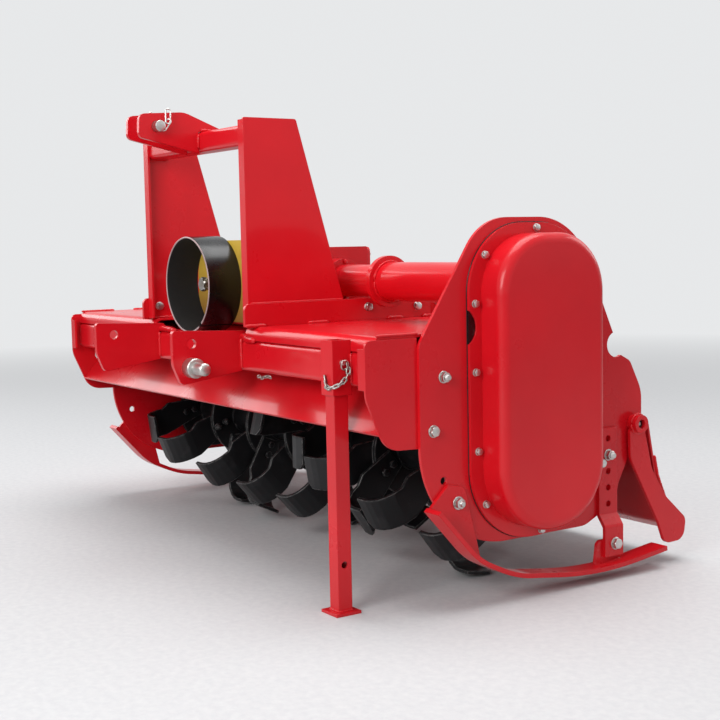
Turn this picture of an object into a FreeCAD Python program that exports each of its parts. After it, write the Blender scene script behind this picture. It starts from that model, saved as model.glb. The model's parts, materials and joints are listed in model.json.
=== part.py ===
"""Tractor-mounted rotavator: sheet-steel hood, headstock, side gear-case, blade rotor, stand and rear board.

Millimetres.  +X runs to the gear-case side, -Y to the tractor, +Z up.  The sizes below are read from the
rotor axis (y = 0) and the floor (z = 0); every piece is moved by the datum shift when it is written.
"""
import FreeCAD, Part
import math
import os

V = FreeCAD.Vector

# Datum: the part's origin is the middle of its footprint, on the floor.
DATUM_X = 13.0
DATUM_Y = -73.35

# Rotor
ROTOR_Z = 245.0
ROTOR_R = 245.0
ROTOR_TUBE_R = 45.0
FLANGE_R = 112.0
FLANGE_T = 10.0
FLANGE_INSET = 20.0
BLADES_PER_SIDE = 3
BLADE_W = 78.0
BLADE_T = 8.0
BLADE_REACH = 92.0
BLADE_BEND_R = 60.0
BLADE_BEND_FLATS = 5
BLADE_ROOT_R = 54.0
BLADE_CHAMFER = 15.0
ROTOR_END_GAP = 14.0
STUB_R = 25.0
RUN_CLEARANCE = 0.4

# Side plates and hood ends
SIDE_X = 758.0
SIDE_T = 8.0
END_T = 6.0
END_FLANGE = 26.0
DECK_Z = 557.0
DECK_T = 6.0
LIP_Y = -397.0
LIP_Z = 365.0
DECK_REAR_Y = 96.0
NOTCH_R = 28.0

# Front beam
BEAM_FRONT_Y = -407.0
BEAM_DEPTH = 80.0
BEAM_TOP_Z = 526.0
BEAM_HEIGHT = 70.0
BEAM_CORNER = 12.0
BEAM_WALL = 6.0

# Headstock
HEAD_X = 262.0
HEAD_T = 6.0
HEAD_FRONT_Y = -410.0
HEAD_TOP_Z = 1018.0
HEAD_TOP_REAR_Y = -275.0
HEAD_FOOT_REAR_Y = -154.0
HEAD_FLANGE = 25.0
BRACKET_T = 9.0
BRACKET_TOP_Z = 608.0
BRACKET_REAR_Y = 90.0
BRACKET_FRONT_Y = -424.0
CROSSBAR_H = 46.0
CROSSBAR_D = 60.0
CROSSBAR_DROP = 14.0
CROSSBAR_CORNER = 10.0

# Top-link clevis
CLEVIS_GAP = 52.0
CLEVIS_T = 10.0
TOP_PIN_R = 12.7
TOP_PIN_Y = -510.0
TOP_PIN_RISE = 9.0
PIN_FIT = 0.3

# Lower hitch ears and pins
EAR_X = 220.0
EAR_T = 12.0
EAR_FRONT_Y = -577.0
EAR_TOP_Z = 555.0
EAR_BOTTOM_Z = 434.0
LOW_PIN_Y = -535.0
LOW_PIN_Z = 472.0
LOW_PIN_R = 14.0
LOW_COLLAR_R = 22.0
LOW_COLLAR_L = 27.0
LOW_PIN_L = 42.0

# Gearbox, cross tubes, power take-off
DRIVE_Y = -65.0
DRIVE_Z = 647.0
TUBE_R = 45.0
NECK_R = 39.0
RIM_X = 130.0
RIM_R = 53.0
JOIN_X = 308.0
JOIN_T = 14.0
JOIN_R = 60.0
SADDLE_X = 600.0
SADDLE_T = 8.0
GEARBOX_HALF = 82.0
GEARBOX_FRONT_Y = -205.0
GEARBOX_REAR_Y = 35.0
SHAFT_R = 17.45
SHAFT_FRONT_Y = -392.0
GUARD_R = 114.0
GUARD_WALL = 4.0
GUARD_FRONT_Y = -428.0
GUARD_PLATE_Y = -345.0
GUARD_PLATE_T = 3.0
GUARD_SLIT_X = 60.0
GUARD_SLIT_W = 5.0

# Side gear-case
CASE_Y = -23.0
CASE_HALF = 165.0
CASE_TOP_Z = 773.0
CASE_BOTTOM_Z = 119.0
CASE_FLAT_TOP = 23.0
CASE_FLAT_LOW = 7.0
CASE_FLANGE_T = 8.0
CASE_NOTCH_Z = 565.0
CASE_NOTCH_R = 41.0
CASE_NOTCH_DEPTH = 18.0
COVER_LEFT = 31.0
COVER_RIGHT = 17.0
COVER_ENDS = 22.0
COVER_DEPTH = 66.0
COVER_EDGE = 20.0

# Stand
STAND_X = 645.0
LEG_DROP = 24.0
LEG_SIZE = 32.0
LEG_WALL = 4.0
SLEEVE_WALL = 5.0
LEG_FIT = 0.5
SLEEVE_TOP_Z = 549.0
SLEEVE_BOTTOM_Z = 440.0
FOOT_SIZE = 58.0
FOOT_T = 6.0

# Rear board
BOARD_PIVOT_Y = 278.0
BOARD_PIVOT_Z = 328.0
ARM_GAP = 6.0
ARM_T = 8.0
BOSS_R = 20.0
BOSS_BORE_R = 10.2
BOSS_L = 26.0
PIVOT_PIN_R = 10.0
BOARD_T = 5.0

# Depth skids
SKID_PIVOT_Y = -223.0
SKID_PIVOT_Z = 215.0
SKID_T = 8.0
SKID_W = 48.0
RUNNER_T = 10.0
STRAP_W = 54.0
STRAP_T = 8.0
STRAP_MARGIN = 24.0
STRAP_TOP_Z = 326.0
STRAP_BOLT_Z = 267.0
STRAP_PITCH = 36.0
STRAP_JOG = 18.0

SIDE_IN = SIDE_X - SIDE_T
CROSSBAR_TOP_Z = HEAD_TOP_Z - CROSSBAR_DROP
TOP_PIN_Z = CROSSBAR_TOP_Z + TOP_PIN_RISE
STRAP_Y = CASE_Y + CASE_HALF + STRAP_MARGIN + STRAP_W / 2
END_X = SIDE_IN


def corner_arc(before, corner, after, radius):
    """Return the two tangent points and the middle point of a rounded corner."""
    a = (before - corner).normalize()
    b = (after - corner).normalize()
    half = a.getAngle(b) / 2.0
    reach = radius / math.tan(half)
    middle = (a + b).normalize()
    centre = corner + middle * (radius / math.sin(half))
    return corner + a * reach, centre - middle * radius, corner + b * reach


def outline(points, place):
    """Closed face from rows (u, v, corner radius); place turns (u, v) into a point."""
    corners = [place(u, v) for u, v, _ in points]
    count = len(points)
    edges = []
    spots = []
    for i, (_, _, radius) in enumerate(points):
        if radius > 0:
            first, mid, last = corner_arc(corners[i - 1], corners[i], corners[(i + 1) % count], radius)
            spots.append((first, last))
            edges.append(Part.Arc(first, mid, last).toShape())
        else:
            spots.append((corners[i], corners[i]))
            edges.append(None)
    loop = []
    for i in range(count):
        if edges[i] is not None:
            loop.append(edges[i])
        start = spots[i][1]
        end = spots[(i + 1) % count][0]
        if start.distanceToPoint(end) > 1e-6:
            loop.append(Part.makeLine(start, end))
    return Part.Face(Part.Wire(loop))


def plate_x(points, x0, x1):
    """Plate across X from an outline given as rows (y, z, corner radius)."""
    return outline(points, lambda y, z: V(x0, y, z)).extrude(V(x1 - x0, 0, 0))


def plate_y(points, y0, y1):
    """Plate across Y from an outline given as rows (x, z, corner radius)."""
    return outline(points, lambda x, z: V(x, y0, z)).extrude(V(0, y1 - y0, 0))


def plate_z(points, z0, z1):
    """Plate across Z from an outline given as rows (x, y, corner radius)."""
    return outline(points, lambda x, y: V(x, y, z0)).extrude(V(0, 0, z1 - z0))


def strip(path, thick):
    """Outline rows of a bent sheet whose middle follows rows (u, v, bend radius)."""
    sides = []
    for off in (thick / 2.0, -thick / 2.0):
        rows = []
        for i, (u, v, radius) in enumerate(path):
            here = V(u, v, 0)
            before = here - V(path[i - 1][0], path[i - 1][1], 0) if i > 0 else None
            after = V(path[i + 1][0], path[i + 1][1], 0) - here if i < len(path) - 1 else None
            first = (before or after).normalize()
            second = (after or before).normalize()
            left_a = V(-first.y, first.x, 0)
            left_b = V(-second.y, second.x, 0)
            bisector = (left_a + left_b).normalize()
            spot = here + bisector * (off / bisector.dot(left_a))
            turn = first.cross(second).z
            bend = 0.0
            if radius > 0:
                bend = radius - off if turn > 0 else radius + off
            rows.append((spot.x, spot.y, bend))
        sides.append(rows)
    return sides[0] + list(reversed(sides[1]))


def rod_x(y, z, radius, x0, x1):
    """Round bar along X."""
    return Part.makeCylinder(radius, x1 - x0, V(x0, y, z), V(1, 0, 0))


def rod_y(x, z, radius, y0, y1):
    """Round bar along Y."""
    return Part.makeCylinder(radius, y1 - y0, V(x, y0, z), V(0, 1, 0))


def box(x0, x1, y0, y1, z0, z1):
    """Plain block between two corners."""
    return Part.makeBox(x1 - x0, y1 - y0, z1 - z0, V(x0, y0, z0))


def mirror_x(shape):
    """The same piece on the far side."""
    return shape.mirror(V(0, 0, 0), V(1, 0, 0))


def rect(u0, u1, v0, v1, radius):
    """Rows of a rectangle with one corner radius."""
    return [(u0, v0, radius), (u1, v0, radius), (u1, v1, radius), (u0, v1, radius)]


HIGH_HEAD = [  # y, z, corner radius: the near plate rises behind the gear-case
    (-308, 537, 40),
    (-146, 784, 120),
    (100, 784, 150),
]
LOW_HEAD = [  # the far plate ends at the deck
    (-308, DECK_Z - 1, 30),
    (205, DECK_Z - 1, 20),
]


def side_plate(head):
    """Big end plate that carries the rotor bearing, the skid and the rear board."""
    rows = [  # y, z, corner radius
        (-308, 118, 215),
        *head,
        (240, 482, 0),
        (268, 468, 24),
        (303, 400, 80),
        (303, 322, 14),
        (270, 292, 14),
        (260, 250, 60),
        (232, 200, 50),
        (222, 160, 20),
        (130, 118, 60),
    ]
    plate = plate_x(rows, SIDE_IN, SIDE_X)
    plate = plate.cut(rod_x(227, 506, NOTCH_R, SIDE_IN - 1, SIDE_X + 1))
    plate = plate.cut(rod_x(0, ROTOR_Z, STUB_R + RUN_CLEARANCE, SIDE_IN - 1, SIDE_X + 1))
    plate = plate.cut(rod_x(-252, 262, 8, SIDE_IN - 1, SIDE_X + 1))
    return plate


def end_plate():
    """Closes the hood's end; its front edge is folded inwards."""
    rows = [
        (-307, DECK_Z - DECK_T, 0),
        (-430, DECK_Z - DECK_T, 14),
        (-430, 440, 60),
        (-384, 334, 50),
        (-307, 331, 0),
    ]
    plate = plate_x(rows, END_X - END_T, END_X)
    fold = box(END_X - END_FLANGE, END_X - END_T, -430, -430 + END_T, 455, DECK_Z - DECK_T - 16)
    return plate.fuse(fold).removeSplitter()


def hood_shell():
    """Bent sheet over the rotor, from the front lip to the rear board."""
    path = [
        (LIP_Y, LIP_Z, 0),
        (-322, 447, 60),
        (-292, 530, 46),
        (-228, DECK_Z - DECK_T - DECK_T / 2, 60),
        (150, DECK_Z - DECK_T - DECK_T / 2, 120),
        (258, 440, 90),
        (284, 362, 0),
    ]
    return plate_x(strip(path, DECK_T), -END_X + END_T, END_X - END_T)


def front_deck():
    """Flat deck over the beam, with a rounded front edge and a bay for the drive shaft."""
    inner = END_X - END_T
    path = [
        (DECK_REAR_Y, DECK_Z - DECK_T / 2, 0),
        (BEAM_FRONT_Y + DECK_T / 2, DECK_Z - DECK_T / 2, 18),
        (BEAM_FRONT_Y + DECK_T / 2, BEAM_TOP_Z, 0),
    ]
    sheet = plate_x(strip(path, DECK_T), -inner, inner)
    bay = box(-EAR_X - 18, EAR_X + 18, -450, -330, BEAM_TOP_Z - 5, DECK_Z + 5)
    return sheet.cut(bay)


def front_beam():
    """Rectangular tube across the whole front."""
    inner = END_X - END_T - 0.3
    y0 = BEAM_FRONT_Y
    y1 = BEAM_FRONT_Y + BEAM_DEPTH
    z1 = BEAM_TOP_Z
    z0 = BEAM_TOP_Z - BEAM_HEIGHT
    outer = plate_x(rect(y0, y1, z0, z1, BEAM_CORNER), -inner, inner)
    w = BEAM_WALL
    bore = plate_x(rect(y0 + w, y1 - w, z0 + w, z1 - w, BEAM_CORNER - w), -inner - 1, inner + 1)
    return outer.cut(bore)


def headstock():
    """Upright of the headstock: a plate with its front edge folded inwards."""
    rows = [
        (HEAD_FRONT_Y, DECK_Z, 0),
        (HEAD_FRONT_Y, HEAD_TOP_Z, 4),
        (HEAD_TOP_REAR_Y, HEAD_TOP_Z, 6),
        (HEAD_FOOT_REAR_Y, 596, 0),
        (HEAD_FOOT_REAR_Y, DECK_Z, 0),
    ]
    plate = plate_x(rows, HEAD_X - HEAD_T, HEAD_X)
    fold = box(HEAD_X - HEAD_FLANGE, HEAD_X - HEAD_T, HEAD_FRONT_Y, HEAD_FRONT_Y + HEAD_T, DECK_Z, HEAD_TOP_Z - 4)
    return plate.fuse(fold).removeSplitter()


def foot_bracket():
    """Long foot that bolts the upright to the deck."""
    rows = [
        (BRACKET_FRONT_Y, DECK_Z, 0),
        (BRACKET_FRONT_Y, BRACKET_TOP_Z, 14),
        (BRACKET_REAR_Y, BRACKET_TOP_Z, 24),
        (BRACKET_REAR_Y, DECK_Z, 0),
    ]
    return plate_x(rows, HEAD_X, HEAD_X + BRACKET_T)


def crossbar():
    """Tube between the two uprights."""
    inner = HEAD_X - HEAD_T
    y0 = HEAD_FRONT_Y + HEAD_T
    rows = rect(y0, y0 + CROSSBAR_D, CROSSBAR_TOP_Z - CROSSBAR_H, CROSSBAR_TOP_Z, CROSSBAR_CORNER)
    return plate_x(rows, -inner, inner)


def clevis_ear():
    """Ear of the top-link clevis, notched over the crossbar."""
    bar_y = HEAD_FRONT_Y + HEAD_T
    rows = [
        (-556, TOP_PIN_Z - 25, 14),
        (-553, TOP_PIN_Z + 28, 16),
        (-440, TOP_PIN_Z + 35, 60),
        (-346, CROSSBAR_TOP_Z + 7, 0),
        (-346, CROSSBAR_TOP_Z, 0),
        (bar_y, CROSSBAR_TOP_Z, 0),
        (bar_y, CROSSBAR_TOP_Z - 50, 0),
    ]
    x0 = CLEVIS_GAP / 2
    ear = plate_x(rows, x0, x0 + CLEVIS_T)
    return ear.cut(rod_x(TOP_PIN_Y, TOP_PIN_Z, TOP_PIN_R + PIN_FIT, x0 - 1, x0 + CLEVIS_T + 1))


def top_link_pin():
    """Plain pin through the two ears; its linch pins are small parts left out here."""
    half = CLEVIS_GAP / 2 + CLEVIS_T
    return rod_x(TOP_PIN_Y, TOP_PIN_Z, TOP_PIN_R, -half - 20, half + 20)


def hitch_ear():
    """Lower hitch ear welded to the front beam."""
    rows = [
        (EAR_FRONT_Y + 19, EAR_BOTTOM_Z, 12),
        (EAR_FRONT_Y, EAR_BOTTOM_Z + 46, 40),
        (EAR_FRONT_Y, EAR_TOP_Z, 8),
        (-392, EAR_TOP_Z - 9, 8),
        (-392, BEAM_TOP_Z, 0),
        (BEAM_FRONT_Y, BEAM_TOP_Z, 0),
        (BEAM_FRONT_Y, EAR_BOTTOM_Z + 22, 0),
    ]
    ear = plate_x(rows, EAR_X - EAR_T, EAR_X)
    return ear.cut(rod_x(-531, 524, 11, EAR_X - EAR_T - 1, EAR_X + 1))


def hitch_pin():
    """Stepped lower hitch pin, welded to the ear."""
    shoulder = EAR_X + LOW_COLLAR_L
    pin = rod_x(LOW_PIN_Y, LOW_PIN_Z, LOW_PIN_R, shoulder, shoulder + LOW_PIN_L)
    collar = rod_x(LOW_PIN_Y, LOW_PIN_Z, LOW_COLLAR_R, EAR_X, shoulder)
    return pin.fuse(collar).removeSplitter()


def gearbox():
    """Central bevel gearbox on the cross tubes."""
    half = GEARBOX_HALF
    rows = [
        (GEARBOX_FRONT_Y + 40, DRIVE_Z - 78, 16),
        (GEARBOX_FRONT_Y + 40, DRIVE_Z + 82, 30),
        (GEARBOX_REAR_Y, DRIVE_Z + 82, 5),
        (GEARBOX_REAR_Y, DRIVE_Z - 78, 16),
    ]
    body = plate_x(rows, -half, half)
    cheeks = rod_x(DRIVE_Y, DRIVE_Z, RIM_R, -RIM_X, RIM_X)
    snout = rod_y(0, DRIVE_Z, 62, GEARBOX_FRONT_Y, GEARBOX_FRONT_Y + 60)
    feet = box(-half + 6, half - 6, -150, 10, DECK_Z, DRIVE_Z - 60)
    body = body.fuse([cheeks, snout, feet]).removeSplitter()
    bore = rod_y(0, DRIVE_Z, SHAFT_R + 8 + RUN_CLEARANCE, GEARBOX_FRONT_Y - 20, GEARBOX_FRONT_Y + 30)
    return body.cut(bore)


def cross_tube(end_x):
    """Tube out from the gearbox with its bolted joint; the drive shaft inside it isn't shown."""
    neck = rod_x(DRIVE_Y, DRIVE_Z, NECK_R, RIM_X, JOIN_X)
    join = rod_x(DRIVE_Y, DRIVE_Z, JOIN_R, JOIN_X, JOIN_X + JOIN_T)
    tube = rod_x(DRIVE_Y, DRIVE_Z, TUBE_R, JOIN_X + JOIN_T, end_x)
    return neck.fuse([join, tube]).removeSplitter()


def input_shaft():
    """Power take-off shaft with its seal collar."""
    shaft = rod_y(0, DRIVE_Z, SHAFT_R, SHAFT_FRONT_Y, GEARBOX_FRONT_Y + 20)
    collar = rod_y(0, DRIVE_Z, SHAFT_R + 8, GEARBOX_FRONT_Y - 30, GEARBOX_FRONT_Y + 20)
    return shaft.fuse(collar).removeSplitter()


def pto_guard():
    """Rolled black sheet around the shaft end, open where its two ends meet."""
    outer = rod_y(0, DRIVE_Z, GUARD_R, GUARD_FRONT_Y, GUARD_PLATE_Y)
    inner = rod_y(0, DRIVE_Z, GUARD_R - GUARD_WALL, GUARD_FRONT_Y - 1, GUARD_PLATE_Y + 1)
    slit = box(
        GUARD_SLIT_X, GUARD_SLIT_X + GUARD_SLIT_W, GUARD_FRONT_Y - 1, GUARD_PLATE_Y + 1,
        DRIVE_Z - GUARD_R, DRIVE_Z - GUARD_R / 2)
    return outer.cut([inner, slit])


def guard_plate():
    """Sheet behind the guard, reaching to the near upright."""
    left = -GUARD_R + 8
    right = HEAD_X - HEAD_T - 0.3
    rows = [
        (left, DECK_Z + 0.3, 60),
        (right, DECK_Z + 0.3, 0),
        (right, 750, 0),
        (left, 750, 90),
    ]
    plate = plate_y(rows, GUARD_PLATE_Y, GUARD_PLATE_Y + GUARD_PLATE_T)
    return plate.cut(rod_y(0, DRIVE_Z, 48, GUARD_PLATE_Y - 1, GUARD_PLATE_Y + 5))


def tube_saddle():
    """Upright between the deck and the cross tube near the side plate."""
    rows = [
        (DRIVE_Y - 90, DECK_Z, 0),
        (DRIVE_Y - 60, DRIVE_Z - 20, 16),
        (DRIVE_Y + 60, DRIVE_Z - 20, 16),
        (DRIVE_Y + 90, DECK_Z, 0),
    ]
    x0 = SADDLE_X
    plate = plate_x(rows, x0, x0 + SADDLE_T)
    return plate.cut(rod_x(DRIVE_Y, DRIVE_Z, TUBE_R, x0 - 1, x0 + SADDLE_T + 1))


def case_rows(left, right, ends, trim):
    """Outline of the gear-case, drawn in at its sides and ends, with its corner radii trimmed."""
    y0 = CASE_Y - CASE_HALF + left
    y1 = CASE_Y + CASE_HALF - right
    z0 = CASE_BOTTOM_Z + ends
    z1 = CASE_TOP_Z - ends
    low = CASE_HALF - CASE_FLAT_LOW - trim
    top = CASE_HALF - CASE_FLAT_TOP - trim
    return [(y0, z0, low), (y1, z0, low), (y1, z1, top), (y0, z1, top)]


def gear_case_flange():
    """Flat rim that bolts the cover to the side plate, with a finger notch in its front edge."""
    rim = plate_x(case_rows(0, 0, 0, 0), SIDE_X, SIDE_X + CASE_FLANGE_T)
    notch_y = CASE_Y - CASE_HALF + CASE_NOTCH_DEPTH - CASE_NOTCH_R
    return rim.cut(rod_x(notch_y, CASE_NOTCH_Z, CASE_NOTCH_R, SIDE_X - 1, SIDE_X + CASE_FLANGE_T + 1))


def gear_case_cover():
    """Domed cover of the side drive."""
    x0 = SIDE_X + CASE_FLANGE_T
    dome = plate_x(case_rows(COVER_LEFT, COVER_RIGHT, COVER_ENDS, COVER_ENDS), x0, x0 + COVER_DEPTH)
    rim = [e for e in dome.Edges if abs(e.BoundBox.XMin - (x0 + COVER_DEPTH)) < 0.01]
    return dome.makeFillet(COVER_EDGE, rim)


def bearing_housing():
    """Rotor bearing on the far side plate."""
    base = box(SIDE_X, SIDE_X + 12, -62, 62, ROTOR_Z - 62, ROTOR_Z + 62)
    hub = rod_x(0, ROTOR_Z, 52, SIDE_X + 12, SIDE_X + 46)
    return base.fuse(hub).removeSplitter()


def blade():
    """One hoe blade at the rotor's top, bent towards +X; local origin on the rotor axis."""
    half = BLADE_T / 2
    width = BLADE_W / 2
    middle = math.sqrt(ROTOR_R ** 2 - width ** 2) - half
    path = [(half, BLADE_ROOT_R - 10, 0)]
    for i in range(BLADE_BEND_FLATS + 1):
        turn = math.radians(90.0 * i / BLADE_BEND_FLATS)
        x = half + BLADE_BEND_R * (1 - math.cos(turn))
        z = middle - BLADE_BEND_R * (1 - math.sin(turn))
        path.append((x, z, 0))
    path.append((BLADE_REACH, middle, 0))
    rows = strip(path, BLADE_T)
    slab = outline(rows, lambda x, z: V(x, -BLADE_W, z)).extrude(V(0, BLADE_W * 2, 0))
    side = [  # y, z
        (-width, ROTOR_R + 10, 0),
        (-width, 172, 0),
        (-6, BLADE_ROOT_R, 0),
        (46, BLADE_ROOT_R + 4, 0),
        (52, 150, 0),
        (width, 174, 0),
        (width, ROTOR_R + 10, 0),
    ]
    shape = slab.common(plate_x(side, -1, BLADE_REACH + 1))
    c = BLADE_CHAMFER
    corner = [  # x, y: cuts the leading corner off the tip
        (BLADE_REACH - c, -width, 0),
        (BLADE_REACH, -width + c, 0),
        (BLADE_REACH + c, -width, 0),
        (BLADE_REACH, -width - c, 0),
    ]
    return shape.cut(plate_z(corner, middle - BLADE_T, ROTOR_R + 10))


# Where the first blade of each set of three stands, in degrees down from the front, flange by flange
# from the far end; None where a flange carries no blades on that side.
BLADE_SETS = [  # bent to -X, bent to +X
    (None, 8.0),
    (22.0, 81.0),
    (34.0, 65.0),
    (41.0, -14.0),
    (42.0, 0.0),
    (10.0, 35.0),
    (27.0, 81.0),
    (38.0, None),
]


def rotor():
    """Rotor tube with flanges and hoe blades, set round step by step from flange to flange."""
    inner = SIDE_IN - ROTOR_END_GAP
    pieces = [rod_x(0, 0, ROTOR_TUBE_R, -inner, inner)]
    pieces.append(rod_x(0, 0, STUB_R, -SIDE_X + RUN_CLEARANCE, SIDE_X - RUN_CLEARANCE))
    right = blade()
    left = mirror_x(right)
    half = FLANGE_T / 2
    for i, (to_far, to_near) in enumerate(BLADE_SETS):
        x = (inner - FLANGE_INSET) * (2 * i / (len(BLADE_SETS) - 1) - 1)
        pieces.append(rod_x(0, 0, FLANGE_R, x - half, x + half))
        for piece, shift, first in ((left, -half, to_far), (right, half, to_near)):
            if first is None:
                continue
            for k in range(BLADES_PER_SIDE):
                one = piece.copy()
                one.rotate(V(0, 0, 0), V(1, 0, 0), 90 + first + k * 360.0 / BLADES_PER_SIDE)
                one.translate(V(x + shift, 0, 0))
                pieces.append(one)
    body = pieces[0].multiFuse(pieces[1:]).removeSplitter()
    body.translate(V(0, 0, ROTOR_Z))
    return body


def stand_sleeve():
    """Square socket on the front of the beam, for the stand."""
    size = LEG_SIZE + 2 * (LEG_FIT + SLEEVE_WALL)
    y1 = BEAM_FRONT_Y
    x0 = STAND_X - size / 2
    outer = box(x0, x0 + size, y1 - size, y1, SLEEVE_BOTTOM_Z, SLEEVE_TOP_Z)
    w = SLEEVE_WALL
    hole = box(x0 + w, x0 + size - w, y1 - size + w, y1 - w, SLEEVE_BOTTOM_Z - 1, SLEEVE_TOP_Z + 1)
    return outer.cut(hole)


def stand_leg():
    """Square tube on a foot plate."""
    size = LEG_SIZE + 2 * (LEG_FIT + SLEEVE_WALL)
    yc = BEAM_FRONT_Y - size / 2
    h = LEG_SIZE / 2
    top = SLEEVE_TOP_Z - LEG_DROP
    outer = box(STAND_X - h, STAND_X + h, yc - h, yc + h, FOOT_T, top)
    n = h - LEG_WALL
    bore = box(STAND_X - n, STAND_X + n, yc - n, yc + n, FOOT_T + 1, top + 1)
    f = FOOT_SIZE / 2
    foot = box(STAND_X - f, STAND_X + f, yc - f, yc + f, 0, FOOT_T)
    leg = outer.cut(bore).fuse(foot).removeSplitter()
    return leg.cut(rod_x(yc, 100, 7, STAND_X - 30, STAND_X + 30))


def rear_board():
    """Levelling board behind the rotor, folded once."""
    x1 = SIDE_X + ARM_GAP - 0.3
    path = [
        (318, 322, 0),
        (342, 205, 60),
        (400, 84, 30),
        (424, 66, 0),
    ]
    return plate_x(strip(path, BOARD_T), -x1, x1)


def board_arm():
    """End arm of the rear board with its pivot boss."""
    x0 = SIDE_X + ARM_GAP
    rows = [
        (BOARD_PIVOT_Y - 24, BOARD_PIVOT_Z - 10, 8),
        (BOARD_PIVOT_Y + 20, BOARD_PIVOT_Z - 10, 8),
        (322, 222, 60),
        (366, 155, 60),
        (432, 96, 22),
        (424, 48, 26),
        (364, 46, 22),
        (344, 96, 30),
        (256, 252, 60),
    ]
    arm = plate_x(rows, x0, x0 + ARM_T)
    boss = rod_x(BOARD_PIVOT_Y, BOARD_PIVOT_Z, BOSS_R, SIDE_X + 0.5, SIDE_X + 0.5 + BOSS_L)
    arm = arm.fuse(boss).removeSplitter()
    return arm.cut(rod_x(BOARD_PIVOT_Y, BOARD_PIVOT_Z, BOSS_BORE_R, SIDE_X - 1, SIDE_X + BOSS_L + 2))


def pivot_pin():
    """Fixed pin of the rear board on the side plate."""
    return rod_x(BOARD_PIVOT_Y, BOARD_PIVOT_Z, PIVOT_PIN_R, SIDE_X, SIDE_X + BOSS_L - 10)


def skid():
    """Depth skid: a bent runner with an upright at the front and a lug at the back."""
    path = [  # y, z, bend radius
        (-299, 210, 0),
        (-200, 100, 170),
        (-104, 54, 260),
        (128, 21, 900),
        (335, 46, 0),
    ]
    runner = plate_x(strip(path, RUNNER_T), SIDE_X, SIDE_X + SKID_W)
    upright = [
        (-296, 207, 0),
        (-246, 254, 8),
        (-204, 246, 22),
        (-188, 180, 20),
        (-164, 82, 0),
        (-200, 102, 0),
    ]
    front = plate_x(upright, SIDE_X, SIDE_X + SKID_T)
    x1 = SIDE_X + STRAP_JOG
    lug = plate_x([(142, 24, 0), (150, 84, 14), (212, 84, 14), (222, 32, 0)], x1 - SKID_T, x1)
    return runner.fuse([front, lug]).removeSplitter()


def strap():
    """Perforated strap that sets the skid's height, with a step in it."""
    x0 = SIDE_X + STRAP_T / 2
    jog = STRAP_JOG
    path = [
        (x0, STRAP_TOP_Z, 0),
        (x0, 136, 8),
        (x0 + jog, 112, 8),
        (x0 + jog, 46, 0),
    ]
    half = STRAP_W / 2
    band = plate_y(strip(path, STRAP_T), STRAP_Y - half, STRAP_Y + half)
    for i in (-1, 1, 2, 3):
        band = band.cut(rod_x(STRAP_Y, STRAP_BOLT_Z - i * STRAP_PITCH, 7, SIDE_X, SIDE_X + 40))
    return band


def pair(name, shape):
    """The near piece and its mirror image on the far side."""
    return {name + "_near": shape, name + "_far": mirror_x(shape)}


def build():
    """All pieces by name."""
    nodes = {
        "front_beam": front_beam(),
        "hood_shell": hood_shell(),
        "front_deck": front_deck(),
        "crossbar": crossbar(),
        "top_link_pin": top_link_pin(),
        "gearbox": gearbox(),
        "input_shaft": input_shaft(),
        "pto_guard": pto_guard(),
        "guard_plate": guard_plate(),
        "gear_case_flange": gear_case_flange(),
        "gear_case_cover": gear_case_cover(),
        "bearing_housing": mirror_x(bearing_housing()),
        "rotor": rotor(),
        "stand_sleeve": stand_sleeve(),
        "stand_leg": stand_leg(),
        "rear_board": rear_board(),
    }
    for name, near, far in (
        ("side_plate", side_plate(HIGH_HEAD), side_plate(LOW_HEAD)),
        ("cross_tube", cross_tube(SIDE_IN), cross_tube(SADDLE_X + SADDLE_T)),
    ):
        nodes[name + "_near"] = near
        nodes[name + "_far"] = mirror_x(far)
    for name, shape in (
        ("end_plate", end_plate()),
        ("headstock", headstock()),
        ("foot_bracket", foot_bracket()),
        ("clevis_ear", clevis_ear()),
        ("hitch_ear", hitch_ear()),
        ("hitch_pin", hitch_pin()),
        ("tube_saddle", tube_saddle()),
        ("board_arm", board_arm()),
        ("pivot_pin", pivot_pin()),
        ("skid", skid()),
        ("strap", strap()),
    ):
        nodes.update(pair(name, shape))
    return nodes


def main():
    """Write one file for each piece and print its size."""
    os.makedirs("parts", exist_ok=True)
    total = None
    for name, shape in sorted(build().items()):
        shape.translate(V(-DATUM_X, -DATUM_Y, 0))
        shape.exportStep("parts/" + name + ".step")
        b = shape.BoundBox
        total = b if total is None else total.united(b)
        print("%-18s solids %d valid %s x %.1f..%.1f y %.1f..%.1f z %.1f..%.1f vol %.0f cm3" % (
            name, len(shape.Solids), shape.isValid(), b.XMin, b.XMax, b.YMin, b.YMax, b.ZMin, b.ZMax,
            shape.Volume / 1000))
    print("all", total)


main()
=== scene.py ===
"""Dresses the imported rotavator: paint and metal finishes, fasteners, welds, pins, chains and a plain studio.

Sizes in the classes are millimetres, read from the rotor's axis (y = 0) and the floor (z = 0), as the part's
own source reads them.  `at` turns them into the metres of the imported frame.
"""
import json
import logging
import math
import random
from dataclasses import dataclass
from enum import Enum

import bmesh
import bpy
from mathutils import Matrix, Vector

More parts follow.
